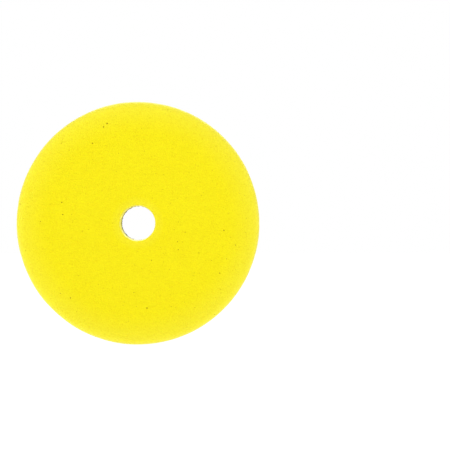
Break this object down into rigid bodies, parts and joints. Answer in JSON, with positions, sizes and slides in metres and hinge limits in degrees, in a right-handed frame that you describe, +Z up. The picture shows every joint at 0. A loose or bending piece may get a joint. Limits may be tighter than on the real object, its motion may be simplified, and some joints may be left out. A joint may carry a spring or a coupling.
{
  "type": "polishing pad",
  "caption": "Round tapered foam polishing pad with a centre hole, laminated to a hook-and-loop fabric back.",
  "frame": {"origin": "centre of the loop face, the plane where the pad meets a polisher's hook-faced backing plate", "axes": "+Y along the pad's axis, out of the loop face towards the machine; the foam working face looks towards -Y; +Z up, with the pad standing on its rim"},
  "size_m": [0.15, 0.025, 0.15],
  "materials": {
    "foam": "matte",
    "adhesive": "satin",
    "ground_cloth": "matte",
    "loops": "matte"
  },
  "bodies": {
    "root": {"foam_disc": "foam", "adhesive_film": "adhesive", "loop_cloth": "ground_cloth", "loop_pile": "loops"}
  },
  "joints": []
}
